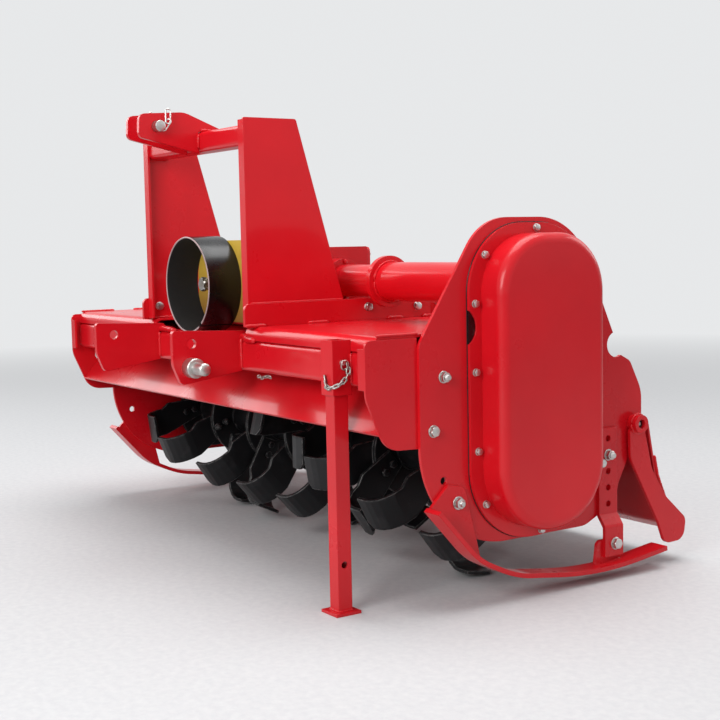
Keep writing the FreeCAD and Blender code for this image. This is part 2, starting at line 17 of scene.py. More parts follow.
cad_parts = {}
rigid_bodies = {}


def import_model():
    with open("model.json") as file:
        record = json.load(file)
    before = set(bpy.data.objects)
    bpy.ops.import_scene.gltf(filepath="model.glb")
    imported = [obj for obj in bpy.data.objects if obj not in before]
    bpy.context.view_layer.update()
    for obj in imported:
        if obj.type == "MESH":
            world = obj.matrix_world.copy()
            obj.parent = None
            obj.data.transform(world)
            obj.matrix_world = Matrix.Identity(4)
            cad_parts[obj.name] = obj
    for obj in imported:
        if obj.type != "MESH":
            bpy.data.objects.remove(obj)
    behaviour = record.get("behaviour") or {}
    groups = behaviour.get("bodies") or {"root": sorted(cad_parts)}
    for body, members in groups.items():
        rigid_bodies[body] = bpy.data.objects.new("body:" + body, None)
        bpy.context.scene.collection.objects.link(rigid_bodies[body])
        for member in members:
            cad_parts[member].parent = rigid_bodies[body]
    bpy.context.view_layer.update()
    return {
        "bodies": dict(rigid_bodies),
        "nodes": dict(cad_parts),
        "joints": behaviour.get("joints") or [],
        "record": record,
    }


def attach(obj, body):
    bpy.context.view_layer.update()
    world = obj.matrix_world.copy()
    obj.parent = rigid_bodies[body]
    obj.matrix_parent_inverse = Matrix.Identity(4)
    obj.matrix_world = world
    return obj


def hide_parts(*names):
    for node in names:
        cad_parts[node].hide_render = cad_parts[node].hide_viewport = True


LOG = logging.getLogger("rotavator")
MM = 0.001
DATUM = Vector((13.0, -73.35, 0.0))

AXIS_X = Vector((1.0, 0.0, 0.0))
AXIS_Y = Vector((0.0, 1.0, 0.0))
AXIS_Z = Vector((0.0, 0.0, 1.0))


def at(x: float, y: float, z: float) -> Vector:
    """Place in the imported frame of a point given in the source's millimetres.

    Args:
        x: Millimetres to the gear-case side.
        y: Millimetres behind the rotor's axis.
        z: Millimetres over the floor.

    Returns:
        The point in metres.
    """
    return (Vector((x, y, z)) - DATUM) * MM


class Slot(Enum):
    """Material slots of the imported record."""

    RED = "red"
    CAST_RED = "cast_red"
    BLACK = "black"
    BLACK_GUARD = "black_guard"
    YELLOW = "yellow"
    STEEL = "steel"
    BARE_STEEL = "bare_steel"


class Body(Enum):
    """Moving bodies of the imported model."""

    FRAME = "frame"
    ROTOR = "rotor"
    INPUT = "input"
    STAND = "stand"
    BOARD = "board"


class NodeSheet:
    """Node tree of one finish, with short calls to place and join its nodes."""

    def __init__(self, name: str) -> None:
        """Start a material with an empty tree.

        Args:
            name: Name of the material.
        """
        self.material = bpy.data.materials.new(name)
        self.material.use_nodes = True
        self.tree = self.material.node_tree
        self.tree.nodes.clear()
        self.surface = self.node("ShaderNodeBsdfPrincipled")
        self.out = self.node("ShaderNodeOutputMaterial")
        self.join(self.surface, "BSDF", self.out, "Surface")
        self.coords = self.node("ShaderNodeTexCoord")
        self.edge = 0.0

    def node(self, kind: str, **settings: object) -> bpy.types.Node:
        """Add a node.

        Args:
            kind: Type name of the node.
            **settings: Attributes, or inputs when the name starts with "in_".

        Returns:
            The new node.
        """
        made = self.tree.nodes.new(kind)
        for key, value in settings.items():
            if key.startswith("in_"):
                made.inputs[key[3:].replace("_", " ")].default_value = value
            else:
                setattr(made, key, value)
        return made

    def join(self, source: bpy.types.Node, output: str, target: bpy.types.Node, socket: str | int) -> None:
        """Link an output to an input."""
        self.tree.links.new(source.outputs[output], target.inputs[socket])

    def noise(self, scale: float, detail: float = 3.0, roughness: float = 0.5) -> bpy.types.Node:
        """Noise over the piece's own space.

        Args:
            scale: Waves to a metre.
            detail: Number of finer layers.
            roughness: Weight of the finer layers.

        Returns:
            The noise node.
        """
        made = self.node("ShaderNodeTexNoise", in_Scale=scale, in_Detail=detail, in_Roughness=roughness)
        self.join(self.coords, "Object", made, "Vector")
        return made

    def band(self, source: bpy.types.Node, output: str, low: float, high: float,
             to_low: float = 0.0, to_high: float = 1.0) -> bpy.types.Node:
        """Stretch a value from one range to another, clamped.

        Args:
            source: Node that gives the value.
            output: Its output.
            low: Value that becomes to_low.
            high: Value that becomes to_high.
            to_low: Result at low.
            to_high: Result at high.

        Returns:
            The map-range node.
        """
        made = self.node("ShaderNodeMapRange", clamp=True)
        for name, value in (("From Min", low), ("From Max", high), ("To Min", to_low), ("To Max", to_high)):
            made.inputs[name].default_value = value
        self.join(source, output, made, "Value")
        return made

    def blend(self, factor: bpy.types.Node, output: str, first: object, second: object) -> bpy.types.Node:
        """Mix two colours by a factor.

        Args:
            factor: Node that gives the factor.
            output: Its output.
            first: Colour tuple or node at factor 0.
            second: Colour tuple or node at factor 1.

        Returns:
            The mix node, whose result is output "Result".
        """
        made = self.node("ShaderNodeMix", data_type="RGBA")
        self.tree.links.new(factor.outputs[output], made.inputs[0])
        for index, value in ((6, first), (7, second)):
            if isinstance(value, tuple):
                made.inputs[index].default_value = (*value, 1.0)
            else:
                self.tree.links.new(value.outputs["Result" if "Result" in value.outputs else 0], made.inputs[index])
        return made

    def colour(self, source: bpy.types.Node) -> None:
        """Use a mix node's result as the base colour."""
        self.tree.links.new(source.outputs[2], self.surface.inputs["Base Color"])

    def bumps(self, rows: list[tuple[bpy.types.Node, str, float, float]]) -> None:
        """Stack bump layers.

        Args:
            rows: Height node, its output, strength, and distance in metres.
        """
        last = None
        if self.edge > 0:
            last = self.node("ShaderNodeBevel", samples=4, in_Radius=self.edge)
        for source, output, strength, distance in rows:
            made = self.node("ShaderNodeBump", in_Strength=strength, in_Distance=distance)
            self.join(source, output, made, "Height")
            if last is not None:
                self.join(last, "Normal", made, "Normal")
            last = made
        if last is not None:
            self.join(last, "Normal", self.surface, "Normal")


@dataclass(frozen=True)
class GlossPaint:
    """Sprayed gloss paint on sheet steel, with dust and a faint orange peel."""

    name: str
    base: tuple[float, float, float]
    deep: tuple[float, float, float]
    dust: tuple[float, float, float] = (0.30, 0.13, 0.10)
    roughness: float = 0.24
    coat: float = 0.3
    peel: float = 0.10
    wave: float = 0.12
    grain: float = 0.0

    def make(self) -> bpy.types.Material:
        """Build the material."""
        sheet = NodeSheet(self.name)
        sheet.edge = 0.0025
        surface = sheet.surface
        surface.inputs["Coat Weight"].default_value = self.coat
        surface.inputs["Coat Roughness"].default_value = 0.10
        surface.inputs["Specular IOR Level"].default_value = 0.2
        tone = sheet.noise(3.2, 4.0, 0.55)
        tone_band = sheet.band(tone, "Fac", 0.32, 0.68)
        paint = sheet.blend(tone_band, "Result", self.deep, self.base)
        speck = sheet.noise(210.0, 3.0, 0.6)
        speck_band = sheet.band(speck, "Fac", 0.64, 0.78, 0.0, 0.10)
        split = sheet.node("ShaderNodeSeparateXYZ")
        sheet.join(sheet.coords, "Object", split, "Vector")
        low = sheet.band(split, "Z", 0.02, 0.55, 1.0, 0.12)
        patch = sheet.noise(5.5, 5.0, 0.62)
        patch_band = sheet.band(patch, "Fac", 0.42, 0.72)
        soil = sheet.node("ShaderNodeMath", operation="MULTIPLY")
        sheet.join(low, "Result", soil, 0)
        sheet.join(patch_band, "Result", soil, 1)
        amount = sheet.node("ShaderNodeMath", operation="MULTIPLY_ADD")
        sheet.join(soil, "Value", amount, 0)
        amount.inputs[1].default_value = 0.06
        sheet.join(speck_band, "Result", amount, 2)
        dusty = sheet.blend(amount, "Value", paint, self.dust)
        sheet.colour(dusty)
        rough = sheet.band(patch, "Fac", 0.3, 0.75, self.roughness, self.roughness + 0.16)
        sheet.join(rough, "Result", surface, "Roughness")
        fine = sheet.noise(520.0, 2.0, 0.4)
        broad = sheet.noise(9.0, 2.0, 0.45)
        layers = [(broad, "Fac", self.wave, 0.004), (fine, "Fac", self.peel, 0.0003)]
        if self.grain > 0:
            cast = sheet.noise(230.0, 6.0, 0.7)
            layers.append((cast, "Fac", self.grain, 0.0012))
        sheet.bumps(layers)
        return sheet.material


@dataclass(frozen=True)
class SatinBlack:
    """Satin black paint on forged steel, scuffed grey."""

    name: str
    base: tuple[float, float, float] = (0.006, 0.006, 0.007)
    scuff: tuple[float, float, float] = (0.030, 0.030, 0.032)
    steel: tuple[float, float, float] = (0.36, 0.35, 0.34)
    roughness: float = 0.34
    grain: float = 0.25

    def make(self) -> bpy.types.Material:
        """Build the material."""
        sheet = NodeSheet(self.name)
        surface = sheet.surface
        surface.inputs["Specular IOR Level"].default_value = 0.3
        surface.inputs["Coat Weight"].default_value = 0.05
        surface.inputs["Coat Roughness"].default_value = 0.25
        sheet.edge = 0.008
        patch = sheet.noise(14.0, 6.0, 0.68)
        worn = sheet.band(patch, "Fac", 0.56, 0.80, 0.0, 0.75)
        paint = sheet.blend(worn, "Result", self.base, self.scuff)
        bevel = sheet.node("ShaderNodeBevel", samples=4, in_Radius=0.004)
        shape = sheet.node("ShaderNodeNewGeometry")
        meet = sheet.node("ShaderNodeVectorMath", operation="DOT_PRODUCT")
        sheet.join(bevel, "Normal", meet, 0)
        sheet.join(shape, "Normal", meet, 1)
        rub = sheet.band(meet, "Value", 0.80, 0.97, 0.8, 0.0)
        chipped = sheet.band(sheet.noise(60.0, 4.0, 0.6), "Fac", 0.38, 0.58)
        bare = sheet.node("ShaderNodeMath", operation="MULTIPLY")
        sheet.join(rub, "Result", bare, 0)
        sheet.join(chipped, "Result", bare, 1)
        sheet.colour(sheet.blend(bare, "Value", paint, self.steel))
        rough = sheet.band(patch, "Fac", 0.3, 0.8, self.roughness, self.roughness + 0.22)
        sheet.join(rough, "Result", surface, "Roughness")
        fine = sheet.noise(330.0, 4.0, 0.6)
        broad = sheet.noise(22.0, 3.0, 0.5)
        sheet.bumps([(broad, "Fac", 0.2, 0.002), (fine, "Fac", self.grain, 0.0004)])
        return sheet.material


@dataclass(frozen=True)
class Metal:
    """Plated or bare metal with a clouded tone."""

    name: str
    base: tuple[float, float, float]
    tint: tuple[float, float, float]
    roughness: float = 0.28
    grain: float = 0.15
    lines: bool = False

    def make(self) -> bpy.types.Material:
        """Build the material."""
        sheet = NodeSheet(self.name)
        surface = sheet.surface
        surface.inputs["Metallic"].default_value = 1.0
        cloud = sheet.noise(46.0, 4.0, 0.6)
        tone = sheet.band(cloud, "Fac", 0.34, 0.68)
        sheet.colour(sheet.blend(tone, "Result", self.base, self.tint))
        rough = sheet.band(cloud, "Fac", 0.25, 0.8, self.roughness, self.roughness + 0.2)
        sheet.join(rough, "Result", surface, "Roughness")
        if self.lines:
            turned = sheet.node("ShaderNodeTexWave", in_Scale=900.0, in_Distortion=1.5, bands_direction="Y")
            sheet.join(sheet.coords, "Object", turned, "Vector")
            sheet.bumps([(turned, "Fac", self.grain, 0.0002)])
        else:
            fine = sheet.noise(700.0, 3.0, 0.6)
            sheet.bumps([(fine, "Fac", self.grain, 0.0003)])
        return sheet.material


@dataclass(frozen=True)
class Plastic:
    """Moulded plastic or rolled sheet with a fine grain."""

    name: str
    base: tuple[float, float, float]
    worn: tuple[float, float, float]
    roughness: float = 0.42
    grain: float = 0.2
    # Colour blended in towards the bottom, painted shade and a painted reflection of the nearby red, and the heights it
    # spans.
    painted_shade_and_reflection: tuple[float, float, float] | None = None
    painted_shade_band: tuple[float, float] = (0.56, 0.70)
    bore: tuple[float, float, float] | None = None
    bore_matt: float = 0.45

    def make(self) -> bpy.types.Material:
        """Build the material.

        Returns:
            The material, with painted shade and a painted reflection of the red darkening it towards the bottom, and
            matt in its bore, where those are given.
        """
        sheet = NodeSheet(self.name)
        surface = sheet.surface
        patch = sheet.noise(16.0, 5.0, 0.6)
        tone = sheet.band(patch, "Fac", 0.45, 0.78, 0.0, 0.8)
        paint = sheet.blend(tone, "Result", self.base, self.worn)
        # Painted shade and painted red reflection: the colour turns brownish red towards the bottom.
        if self.painted_shade_and_reflection is not None:
            split = sheet.node("ShaderNodeSeparateXYZ")
            sheet.join(sheet.coords, "Object", split, "Vector")
            low = sheet.band(split, "Z", self.painted_shade_band[0], self.painted_shade_band[1], 0.9, 0.0)
            paint = sheet.blend(low, "Result", paint, self.painted_shade_and_reflection)
        sheet.colour(paint)
        rough = sheet.band(patch, "Fac", 0.3, 0.7, self.roughness, self.roughness + 0.12)
        if self.bore is None:
            sheet.join(rough, "Result", surface, "Roughness")
        else:
            away = sheet.node("ShaderNodeVectorMath", operation="SUBTRACT")
            sheet.join(sheet.coords, "Object", away, 0)
            away.inputs[1].default_value = self.bore
            shape = sheet.node("ShaderNodeNewGeometry")
            meet = sheet.node("ShaderNodeVectorMath", operation="DOT_PRODUCT")
            sheet.join(away, "Vector", meet, 0)
            sheet.join(shape, "Normal", meet, 1)
            inside = sheet.band(meet, "Value", -0.05, 0.05, self.bore_matt, 0.0)
            total = sheet.node("ShaderNodeMath", operation="ADD")
            sheet.join(rough, "Result", total, 0)
            sheet.join(inside, "Result", total, 1)
            sheet.join(total, "Value", surface, "Roughness")
        fine = sheet.noise(420.0, 3.0, 0.5)
        broad = sheet.noise(12.0, 2.0, 0.5)
        sheet.bumps([(broad, "Fac", 0.08, 0.003), (fine, "Fac", self.grain, 0.0003)])
        return sheet.material


class Finishes:
    """One material for each slot, made once and shared."""

    def __init__(self) -> None:
        """Build every finish."""
        red = (0.64, 0.006, 0.013)
        deep = (0.54, 0.005, 0.011)
        self.by_slot: dict[Slot, bpy.types.Material] = {
            Slot.RED: GlossPaint("gloss_red", red, deep).make(),
            Slot.CAST_RED: GlossPaint("cast_gloss_red", red, deep, roughness=0.27, grain=0.35).make(),
            Slot.BLACK: SatinBlack("satin_black").make(),
            Slot.BLACK_GUARD: Plastic("guard_black", (0.002, 0.002, 0.003), (0.004, 0.004, 0.005), 0.20, 0.05,
                                      bore=(-0.013, 0.0, 0.647)).make(),
            # The yellow plate turns brownish red towards the bottom: painted shade and a painted reflection of the red.
            Slot.YELLOW: Plastic("guard_yellow", (0.66, 0.44, 0.05), (0.46, 0.29, 0.04), 0.45,
                                 painted_shade_and_reflection=(0.20, 0.06, 0.015), painted_shade_band=(0.55, 0.74)).make(),
            Slot.STEEL: Metal("zinc_plate", (0.62, 0.61, 0.60), (0.50, 0.48, 0.45), 0.26).make(),
            Slot.BARE_STEEL: Metal("turned_steel", (0.46, 0.45, 0.44), (0.30, 0.27, 0.23), 0.3, lines=True).make(),
        }

        # Pale pinkish colour of the guard's rim line: a painted highlight and a painted reflection of the red.
        self.painted_rim_highlight = Plastic("guard_painted_rim_highlight", (0.42, 0.30, 0.30), (0.22, 0.17, 0.17), 0.4).make()

    def dress(self, piece: bpy.types.Object, slot: Slot) -> None:
        """Put a finish on every slot of a piece.

        Args:
            piece: Mesh object.
            slot: Finish to use.
        """
        material = self.by_slot[slot]
        if not piece.material_slots:
            piece.data.materials.append(material)
        for held in piece.material_slots:
            held.material = material

    def dress_nodes(self, frame: dict) -> None:
        """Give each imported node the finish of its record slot.
        """
        named = {row["node"]: Slot(row["material_slot"]) for row in frame["record"]["subparts"]}
        for name, node in frame["nodes"].items():
            self.dress(node, named[name])


class Form:
    """Mesh of one piece while it is built, in the source's millimetres."""

    def __init__(self) -> None:
        """Start an empty mesh."""
        self.mesh = bmesh.new()

    def skin(self, rings: list[list[Vector]], closed: bool = False) -> None:
        """Skin rings of points, with flat ends unless the last ring meets the first.

        Args:
            rings: Rings of one count of points each.
            closed: True for a loop such as a chain link.
        """
        made = [[self.mesh.verts.new(point) for point in ring] for ring in rings]
        count = len(made[0])
        pairs = list(zip(made, made[1:]))
        if closed:
            pairs.append((made[-1], made[0]))
        for low, high in pairs:
            for i in range(count):
                j = (i + 1) % count
                self.mesh.faces.new((low[i], low[j], high[j], high[i]))
        if not closed:
            self.mesh.faces.new(list(reversed(made[0])))
            self.mesh.faces.new(made[-1])

    def turned(self, place: Vector, axis: Vector, rows: list[tuple[float, float]],
               sides: int = 24, flats: float = 0.0, twist: float = 0.0) -> None:
        """Turn a profile round an axis, cut to a hexagon where flats is given.

        Args:
            place: Start of the axis.
            axis: Direction of the axis.
            rows: Distance along the axis and radius.
            sides: Points to a ring.
            flats: Size across the flats, or 0 for a round piece.
            twist: Turn about the axis in radians.
        """
        first, second = square_to(axis)
        rings = []
        for along, radius in rows:
            ring = []
            for i in range(sides):
                angle = math.tau * i / sides
                reach = radius
                if flats > 0:
                    off = (angle + math.pi / 6) % (math.pi / 3) - math.pi / 6
                    reach = min(radius, flats / 2 / math.cos(off))
                spin = angle + twist
                ring.append(place + axis * along + (first * math.cos(spin) + second * math.sin(spin)) * reach)
            rings.append(ring)
        self.skin(rings)

    def swept(self, points: list[Vector], radii: list[float], sides: int = 8, closed: bool = False) -> None:
        """Sweep a round section along points.

        Args:
            points: Path of the section's middle.
            radii: Radius at each point.
            sides: Points to a ring.
            closed: True for a loop.
        """
        count = len(points)
        rings = []
        side = None
        for i, point in enumerate(points):
            ahead = points[(i + 1) % count] if closed or i + 1 < count else point
            behind = points[i - 1] if closed or i > 0 else point
            along = (ahead - behind).normalized()
            side = square_to(along)[0] if side is None else (side - along * side.dot(along)).normalized()
            other = along.cross(side)
            rings.append([
                point + (side * math.cos(math.tau * k / sides) + other * math.sin(math.tau * k / sides)) * radii[i]
                for k in range(sides)
            ])
        self.skin(rings, closed)

    def slab(self, outline: list[tuple[float, float]], x0: float, x1: float, edge: float) -> None:
        """Plate square to X with softened edges.

        Args:
            outline: Corners as y and z.
            x0: Inner face.
            x1: Outer face.
            edge: Width of the softened edge on the outer face.
        """
        middle = Vector((0.0, sum(p[0] for p in outline) / len(outline), sum(p[1] for p in outline) / len(outline)))
        rings = []
        sign = 1.0 if x1 > x0 else -1.0
        for x, inset in ((x0, 0.0), (x1 - sign * edge, 0.0), (x1 - sign * edge * 0.3, edge * 0.3), (x1, edge)):
            ring = []
            for y, z in outline:
                out = Vector((0.0, y, z)) - middle
                ring.append(Vector((x, y, z)) - out.normalized() * inset)
            rings.append(ring)
        self.skin(rings)

    def link(self, place: Vector, along: Vector, across: Vector, length: float, width: float, wire: float) -> None:
        """One chain link.

        Args:
            place: Middle of the link.
            along: Direction of its length.
            across: Direction of its width.
            length: Outer length.
            width: Outer width.
            wire: Wire diameter.
        """
        bend = (width - wire) / 2
        run = (length - wire) / 2 - bend
        points = []
        for i in range(20):
            angle = math.tau * i / 20
            shift = run if math.cos(angle) > 0 else -run
            points.append(place + along * (math.cos(angle) * bend + shift) + across * (math.sin(angle) * bend))
        self.swept(points, [wire / 2] * len(points), 8, closed=True)

    def piece(self, name: str, slot: Slot, body: Body, finishes: "Finishes", angle: float = 38.0) -> bpy.types.Object:
        """Turn the mesh into a piece that rides on a body.

        Args:
            name: Name of the piece.
            slot: Material slot.
            body: Body it moves with.
            finishes: Finishes to take the material from.
            angle: Edges sharper than this many degrees stay sharp.

        Returns:
            The piece.
        """
        for vert in self.mesh.verts:
            vert.co = at(*vert.co)
        bmesh.ops.recalc_face_normals(self.mesh, faces=self.mesh.faces)
        for face in self.mesh.faces:
            face.smooth = True
        data = bpy.data.meshes.new(name)
        self.mesh.to_mesh(data)
        self.mesh.free()
        data.set_sharp_from_angle(angle=math.radians(angle))
        made = bpy.data.objects.new(name, data)
        bpy.context.collection.objects.link(made)
        finishes.dress(made, slot)
        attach(made, body.value)
        LOG.info("%s: %d faces on %s", name, len(data.polygons), body.value)
        return made


def square_to(axis: Vector) -> tuple[Vector, Vector]:
    """Two directions square to an axis and to each other.

    Args:
        axis: Unit direction.

    Returns:
        The two unit directions.
    """
    helper = AXIS_Z if abs(axis.z) < 0.9 else AXIS_Y
    first = axis.cross(helper).normalized()
    return first, axis.cross(first)


def ring_points(place: Vector, axis: Vector, radius: float, start: float, stop: float, pitch: float) -> list[Vector]:
    """Points round part of a circle.

    Args:
        place: Middle of the circle.
        axis: Axis of the circle.
        radius: Radius.
        start: First angle in degrees.
        stop: Last angle in degrees.
        pitch: Distance between points.

    Returns:
        The points.
    """
    first, second = square_to(axis)
    count = max(8, int(abs(math.radians(stop - start)) * radius / pitch))
    points = []
    for i in range(count + 1):
        angle = math.radians(start + (stop - start) * i / count)
        points.append(place + (first * math.cos(angle) + second * math.sin(angle)) * radius)
    return points


@dataclass(frozen=True)
class Fastener:
    """Hexagon head or nut with its washer, and a thread end where it is a nut."""

    flats: float
    height: float
    washer: float
    washer_t: float = 2.0
    stud_r: float = 0.0
    stud_l: float = 0.0

    def draw(self, form: Form, place: Vector, axis: Vector, twist: float) -> None:
        """Add the fastener to a form.

        Args:
            form: Mesh to add to.
            place: Point on the face that it is tightened against.
            axis: Direction out of that face.
            twist: Turn of the hexagon in radians.
        """
        corner = self.flats / math.sqrt(3.0)
        base = 0.0
        if self.washer > 0:
            t = self.washer_t
            rows = [(-0.5, self.washer - 0.3), (t * 0.2, self.washer), (t * 0.75, self.washer), (t, self.washer - 0.6)]
            form.turned(place, axis, rows, 28)
            base = t
        top = base + self.height
        cone = self.height * 0.16
        rows = [(base - 0.3, self.flats * 0.47), (base + 0.4, self.flats * 0.485), (base + 0.9, corner + 0.1),
                (top - cone, corner + 0.1), (top - cone * 0.45, self.flats * 0.53), (top, self.flats * 0.46)]
        form.turned(place, axis, rows, 24, self.flats, twist)
        if self.stud_l > 0:
            rows = [(top - 1.0, self.stud_r)]
            pitch = self.stud_r * 0.28
            along = top + 0.2
            while along < top + self.stud_l - pitch:
                rows += [(along, self.stud_r - pitch * 0.5), (along + pitch * 0.5, self.stud_r)]
                along += pitch
            rows.append((top + self.stud_l, self.stud_r - 1.0))
            form.turned(place, axis, rows, 16)


@dataclass(frozen=True)
class BoltRow:
    """Fasteners of one kind that face the same way, on one body."""

    name: str
    body: Body
    kind: Fastener
    axis: Vector
    places: tuple[tuple[float, float, float], ...]
    slot: Slot = Slot.STEEL
    mirrored: bool = True

    def build(self, finishes: "Finishes", chance: random.Random) -> None:
        """Make the near piece, and the far one where the row is mirrored.

        Args:
            finishes: Finishes to use.
            chance: Source of the hexagons' turns.
        """
        sides = (("near", 1.0), ("far", -1.0)) if self.mirrored else (("", 1.0),)
        for label, sign in sides:
            form = Form()
            axis = Vector((self.axis.x * sign, self.axis.y, self.axis.z))
            for x, y, z in self.places:
                self.kind.draw(form, Vector((x * sign, y, z)), axis, chance.uniform(0.0, math.tau))
            form.piece(f"{self.name}_{label}" if label else self.name, self.slot, self.body, finishes, 30.0)


M8 = Fastener(13.0, 5.6, 8.2, 1.4)
M8_NUT = Fastener(13.0, 6.5, 8.2, 1.4, 4.0, 4.0)
M10 = Fastener(17.0, 6.6, 10.5, 2.0)
M12 = Fastener(19.0, 7.6, 12.6, 2.4)
M12_NUT = Fastener(19.0, 10.0, 12.6, 2.4, 6.0, 7.0)
M12_PLAIN = Fastener(18.0, 7.6, 0.0)
M14 = Fastener(21.0, 8.8, 13.8, 2.6)
M14_NUT = Fastener(20.0, 10.0, 13.8, 2.6, 6.0, 5.0)

BOLT_ROWS = (
    BoltRow("case_bolts", Body.FRAME, M8, AXIS_X, (
        (766, -10, 762), (766, -147, 709), (766, -173, 612), (766, -173, 474), (766, -169, 313), (766, -151, 203),
        (766, -3, 130), (766, 95, 724), (766, 133.5, 612), (766, 133.5, 474), (766, 133.5, 313), (766, 90.5, 173),
    ), mirrored=False),
    BoltRow("plate_bolts", Body.FRAME, M12, AXIS_X, ((758, -276, 364),)),
    BoltRow("plate_nuts", Body.FRAME, M12_NUT, AXIS_X, ((758, -249, 470),)),
    BoltRow("plate_rear_bolts", Body.FRAME, Fastener(17.0, 8.0, 0.0), AXIS_X, ((766, 173, 251),)),
    BoltRow("skid_bolts", Body.FRAME, M14_NUT, AXIS_X, ((766, -223, 215),)),
    BoltRow("strap_bolts", Body.FRAME, M12_NUT, AXIS_X, ((766, 193, 267),)),
    BoltRow("strap_low_bolts", Body.FRAME, M14, AXIS_X, ((784, 196, 74),)),
    BoltRow("foot_bolts", Body.FRAME, M10, AXIS_X, ((271, -95, 588), (271, 48, 584), (271, 110, 593))),
    BoltRow("foot_inner_nuts", Body.FRAME, M10, -AXIS_X, ((256, -383, 587),)),
    BoltRow("saddle_bolts", Body.FRAME, M10, AXIS_X, ((608, -125, 590), (608, -5, 590))),
    BoltRow("neck_bolts", Body.FRAME, Fastener(10.0, 5.0, 0.0), AXIS_X, tuple(
        (130, -65 + 45.6 * math.cos(math.radians(a)), 647 + 45.6 * math.sin(math.radians(a)))
        for a in range(30, 390, 60)), Slot.CAST_RED),
    BoltRow("gearbox_rear_bolts", Body.FRAME, M8, AXIS_Y, (
        (-66, 45, 588), (0, 45, 588), (66, 45, 588), (-66, 45, 649), (66, 45, 649), (-66, 45, 711), (0, 45, 711),
        (66, 45, 711)), mirrored=False),
    BoltRow("bearing_bolts", Body.FRAME, Fastener(17.0, 7.0, 10.5, 2.0), -AXIS_X, (
        (-770, -48, 197), (-770, 48, 197), (-770, -48, 293), (-770, 48, 293)), mirrored=False),
)

BEADS = (  # name, body, near and far, bead radius, runs of points
    ("crossbar_welds", Body.FRAME, True, 3.6, (
        ((256, -404, 1003), (256, -345, 1003)), ((256, -405, 1003), (256, -405, 960)),
        ((256, -404, 959), (256, -346, 959)))),
    ("clevis_welds", Body.FRAME, True, 3.8, (
        ((37, -349, 1006), (37, -400, 1008)), ((36.5, -406, 998), (36.5, -406, 966)))),
    ("hitch_ear_welds", Body.FRAME, True, 4.2, (
        ((221, -408, 462), (221, -408, 524), (221, -402, 530), (221, -394, 530)),
        ((207, -408, 462), (207, -408, 524)))),
    ("bay_welds", Body.FRAME, True, 6.8, (
        ((128, -400, 527), (150, -402, 532), (196, -402, 534), (236, -404, 533), (246, -409, 528), (286, -409, 527)),)),
    ("headstock_welds", Body.FRAME, True, 2.4, (
        ((263, -404, 608.5), (263, -160, 608.5)),
        ((255, -400, 559), (255, -330, 559)), ((255, -250, 559), (255, -170, 559)))),
    ("foot_welds", Body.FRAME, True, 4.8, (
        ((272, -424, 559), (272, -372, 559)), ((272, -262, 559), (272, -206, 559)),
        ((273, -40, 560), (273, 4, 560)), ((273, 62, 560), (273, 96, 560), (273, 122, 559)))),
    ("tube_welds", Body.FRAME, True, 3.4, (
        tuple(ring_points(Vector((323, -65, 647)), AXIS_X, 46.5, 0, 352, 9)),)),
    ("saddle_welds", Body.FRAME, True, 3.6, (
        ((609, -152, 559), (609, 22, 559)),
        tuple(ring_points(Vector((609, -65, 647)), AXIS_X, 46.0, 120, 240, 9)))),
    ("tube_end_weld", Body.FRAME, False, 3.6, (
        tuple(ring_points(Vector((749, -65, 647)), AXIS_X, 46.0, 0, 352, 9)),)),
    ("end_plate_welds", Body.FRAME, True, 3.0, (
        ((743, -400, 558), (743, -300, 558)), ((743, -240, 558), (743, -120, 558)), ((743, -60, 558), (743, 60, 558)),
        ((743, -406, 462), (743, -406, 520)))),
    ("sleeve_welds", Body.FRAME, False, 3.4, (
        ((622, -408, 462), (622, -408, 522)), ((668, -408, 462), (668, -408, 522)),
        ((628, -406, 529), (662, -406, 529)))),
    ("lug_welds", Body.FRAME, True, 3.8, (
        ((777, 148, 30), (777, 184, 32), (777, 216, 36)), ((767, 150, 30), (767, 214, 36)))),
    ("skid_welds", Body.FRAME, True, 3.4, (
        ((767, -282, 198), (767, -252, 165), (767, -216, 128), (767, -184, 104)),)),
    ("arm_welds", Body.BOARD, True, 3.2, (
        tuple(ring_points(Vector((772.5, 278, 328)), AXIS_X, 21.0, 0, 352, 7)),
        ((764, 338, 250), (764, 348, 205), (764, 372, 150)))),
    ("leg_welds", Body.STAND, False, 2.6, (
        ((661, -444, 7), (661, -413, 7), (629, -413, 7), (629, -444, 7), (661, -444, 7)),)),
)


class Beads:
    """Weld beads with their ripples."""

    def __init__(self, finishes: "Finishes", chance: random.Random) -> None:
        """Keep what every bead needs.

        Args:
            finishes: Finishes to use.
            chance: Source of the beads' unevenness.
        """
        self.finishes = finishes
        self.chance = chance

    def run(self, form: Form, points: list[Vector], radius: float) -> None:
        """Lay one bead.

        Args:
            form: Mesh to add to.
            points: Corners of the bead's line.
            radius: Mean radius of the bead.
        """
        pitch = radius * 0.55
        line = []
        for start, stop in zip(points, points[1:]):
            steps = max(1, int((stop - start).length / pitch))
            line += [start.lerp(stop, i / steps) for i in range(steps)]
        line.append(points[-1])
        radii = []
        for i in range(len(line)):
            ends = min(1.0, 0.45 + 0.3 * min(i, len(line) - 1 - i))
            ripple = 1.0 + 0.10 * math.sin(i * 2.4) + self.chance.uniform(-0.07, 0.07)
            radii.append(radius * ends * ripple)
        self.chance_shift(line, radius * 0.1)
        form.swept(line, radii, 8)

    def chance_shift(self, line: list[Vector], reach: float) -> None:
        """Move each point a little.

        Args:
            line: Points to move in place.
            reach: Furthest move along each axis.
        """
        for i, point in enumerate(line):
            shift = Vector([self.chance.uniform(-reach, reach) for _ in range(3)])
            line[i] = point + shift

    def build(self) -> None:
        """Lay every bead of the table."""
        for name, body, both, radius, runs in BEADS:
            sides = (("_near", 1.0), ("_far", -1.0)) if both else (("", 1.0),)
            for label, sign in sides:
                form = Form()
                for points in runs:
                    self.run(form, [Vector((p[0] * sign, p[1], p[2])) for p in points], radius)
                form.piece(name + label, Slot.RED, body, self.finishes, 80.0)


